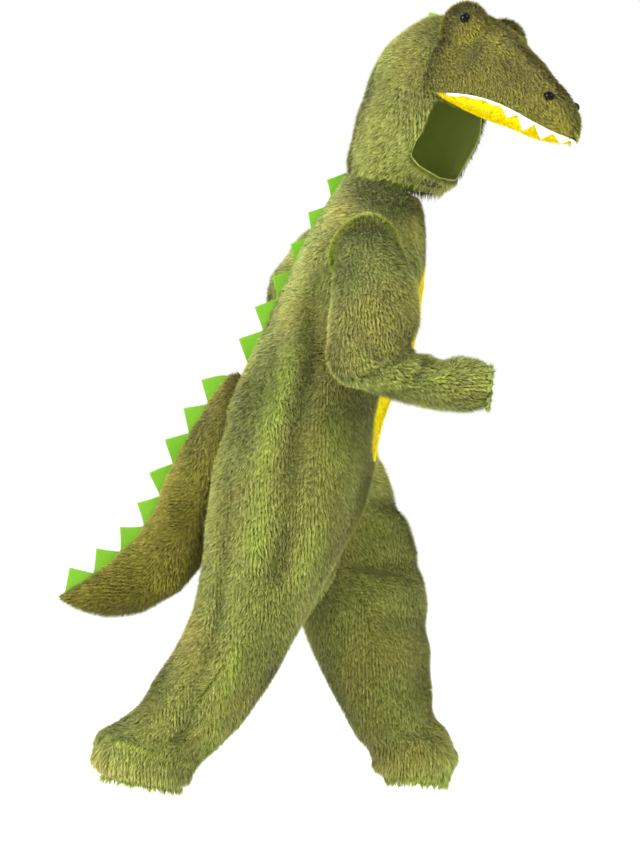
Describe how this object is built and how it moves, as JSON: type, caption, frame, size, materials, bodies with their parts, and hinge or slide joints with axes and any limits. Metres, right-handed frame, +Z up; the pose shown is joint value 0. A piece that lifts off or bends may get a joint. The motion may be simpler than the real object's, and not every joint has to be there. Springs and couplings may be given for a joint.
{
  "type": "crocodile costume",
  "caption": "Child's plush crocodile costume as worn: hollow jumpsuit with a stuffed tail, felt spikes and an oval belly, and a separate crocodile hood with an open mouth.",
  "frame": {"origin": "the middle of the suit's neck opening, where the costume rests on the shoulders", "axes": "+Z up, -Y the way the costume faces and walks, +X its left side"},
  "size_m": [0.5504, 0.8647, 1.3221],
  "materials": {
    "green_plush": "long olive green plush",
    "yellow_plush": "short yellow plush",
    "lime_felt": "matte felt",
    "white_felt": "matte felt",
    "black_gloss": "glossy",
    "black_tape": "hook-and-loop tape"
  },
  "bodies": {
    "root": {"suit_front_right_chest": "green_plush", "suit_front_right_waist": "green_plush", "suit_front_right_hip": "green_plush", "suit_front_right_knee": "green_plush", "suit_front_right_ankle": "green_plush", "suit_back_right_chest": "green_plush", "suit_back_right_waist": "green_plush", "suit_back_right_hip": "green_plush", "suit_back_right_knee": "green_plush", "suit_back_right_ankle": "green_plush", "sleeve_right_upper": "green_plush", "sleeve_right_lower": "green_plush", "tail_right": "green_plush", "hood_right": "green_plush", "eye_bump_right": "green_plush", "eye_right": "black_gloss", "nostril_right": "black_gloss", "suit_front_left_chest": "green_plush", "suit_front_left_waist": "green_plush", "suit_front_left_hip": "green_plush", "suit_front_left_knee": "green_plush", "suit_front_left_ankle": "green_plush", "suit_back_left_chest": "green_plush", "suit_back_left_waist": "green_plush", "suit_back_left_hip": "green_plush", "suit_back_left_knee": "green_plush", "suit_back_left_ankle": "green_plush", "sleeve_left_upper": "green_plush", "sleeve_left_lower": "green_plush", "tail_left": "green_plush", "hood_left": "green_plush", "eye_bump_left": "green_plush", "eye_left": "black_gloss", "nostril_left": "black_gloss", "belly_panel": "yellow_plush", "palate": "yellow_plush", "snout": "green_plush", "back_spikes": "lime_felt", "tail_spikes": "lime_felt", "hood_spikes": "lime_felt", "teeth": "white_felt", "chin_tab": "black_tape"}
  },
  "joints": []
}
